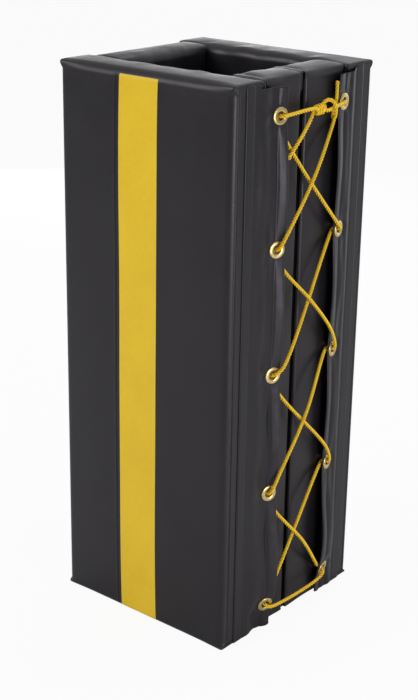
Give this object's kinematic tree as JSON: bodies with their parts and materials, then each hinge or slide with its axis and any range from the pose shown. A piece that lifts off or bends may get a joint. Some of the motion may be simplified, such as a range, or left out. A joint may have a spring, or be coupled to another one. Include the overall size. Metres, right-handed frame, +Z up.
{
  "type": "column protector pad",
  "caption": "Tall foam-filled vinyl pad that wraps round a square column, with a yellow stripe in front and a rope laced through grommets on one side",
  "frame": {"origin": "the middle of the column space, on the floor", "axes": "+Z up along the column, +X towards the laced side, -Y towards the striped front"},
  "size_m": [0.3742, 0.3576, 0.914],
  "materials": {
    "black_vinyl": "semi-matte",
    "yellow_vinyl": "semi-matte",
    "foam": "matte",
    "yellow_rope": "satin",
    "brass": "polished"
  },
  "bodies": {
    "root": {"front_cover": "black_vinyl", "back_cover": "black_vinyl", "left_cover": "black_vinyl", "right_front_cover": "black_vinyl", "right_back_cover": "black_vinyl", "hinge_strip": "black_vinyl", "middle_strip": "black_vinyl", "left_front_web": "black_vinyl", "left_back_web": "black_vinyl", "right_back_web": "black_vinyl", "front_flap": "black_vinyl", "back_flap": "black_vinyl", "front_foam": "foam", "back_foam": "foam", "left_foam": "foam", "right_front_foam": "foam", "right_back_foam": "foam", "front_eyelet_1": "brass", "front_eyelet_2": "brass", "front_eyelet_3": "brass", "front_eyelet_4": "brass", "front_eyelet_5": "brass", "front_washer_1": "brass", "front_washer_2": "brass", "front_washer_3": "brass", "front_washer_4": "brass", "front_washer_5": "brass", "back_eyelet_1": "brass", "back_eyelet_2": "brass", "back_eyelet_3": "brass", "back_eyelet_4": "brass", "back_eyelet_5": "brass", "back_washer_1": "brass", "back_washer_2": "brass", "back_washer_3": "brass", "back_washer_4": "brass", "back_washer_5": "brass", "front_stripe": "yellow_vinyl", "lace": "yellow_rope"}
  },
  "joints": []
}
